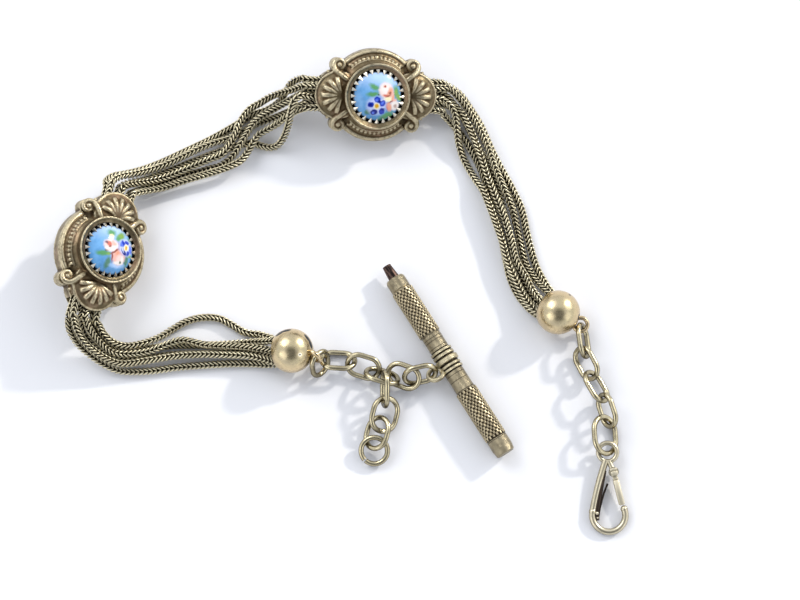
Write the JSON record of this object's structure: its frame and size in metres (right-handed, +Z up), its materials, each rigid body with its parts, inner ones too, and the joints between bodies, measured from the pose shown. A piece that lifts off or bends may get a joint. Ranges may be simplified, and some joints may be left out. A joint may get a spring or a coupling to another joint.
{
  "type": "watch fob",
  "caption": "Watch fob of gathered foxtail chains with two oval enamelled slides, a turned bar with a watch key, a short link drop and a sprung hook.",
  "frame": {"origin": "centre of the footprint on the floor the fob lies on", "axes": "+Z up from the floor, +X from the tipped slide on the left towards the hook on the right, +Y towards the upper slide"},
  "size_m": [0.1082, 0.0936, 0.0141],
  "materials": {
    "strand_metal": "worn pale gilt foxtail chain, dark in the recesses",
    "slide_metal": "browned silver gilt, brighter on the relief",
    "enamel": "sky blue painted enamel with roses, a blue flower and leaves, glossy",
    "ball_gilt": "polished pale gold plate",
    "link_metal": "worn pale gilt wire",
    "dark_steel": "dark brown steel",
    "bar_metal": "worn pale gilt, knurled",
    "clip_metal": "worn pale gilt"
  },
  "bodies": {
    "fob": {"strand_1": "strand_metal", "strand_2": "strand_metal", "strand_3": "strand_metal", "strand_4": "strand_metal", "strand_5": "strand_metal", "strand_6": "strand_metal", "slide_left": "slide_metal", "slide_top": "slide_metal", "slide_left_enamel": "enamel", "slide_top_enamel": "enamel", "ball_left": "ball_gilt", "ball_right": "ball_gilt", "link_a1": "link_metal", "link_a2": "link_metal", "link_a3": "link_metal", "link_a4": "link_metal", "link_a5": "link_metal", "link_a6": "link_metal", "drop_1": "link_metal", "drop_2": "link_metal", "drop_3": "link_metal", "link_b1": "link_metal", "link_b2": "link_metal", "link_b3": "link_metal", "link_b4": "link_metal", "link_b5": "link_metal", "drop_ring": "link_metal", "bar_barrel": "bar_metal", "bar_key": "dark_steel", "bar_cap": "bar_metal", "clip_body": "clip_metal", "clip_spring": "dark_steel"},
    "gate": {"clip_gate": "clip_metal"}
  },
  "joints": [
    {"name": "gate_hinge", "type": "hinge", "parent": "fob", "child": "gate", "pos_m": [0.05141, -0.03505, 0.00176], "axis": [0, 0.0958, -0.9954], "range_deg": [0, 20], "stiffness_Nm_per_rad": 0.01, "springref_deg": -11.46}
  ]
}
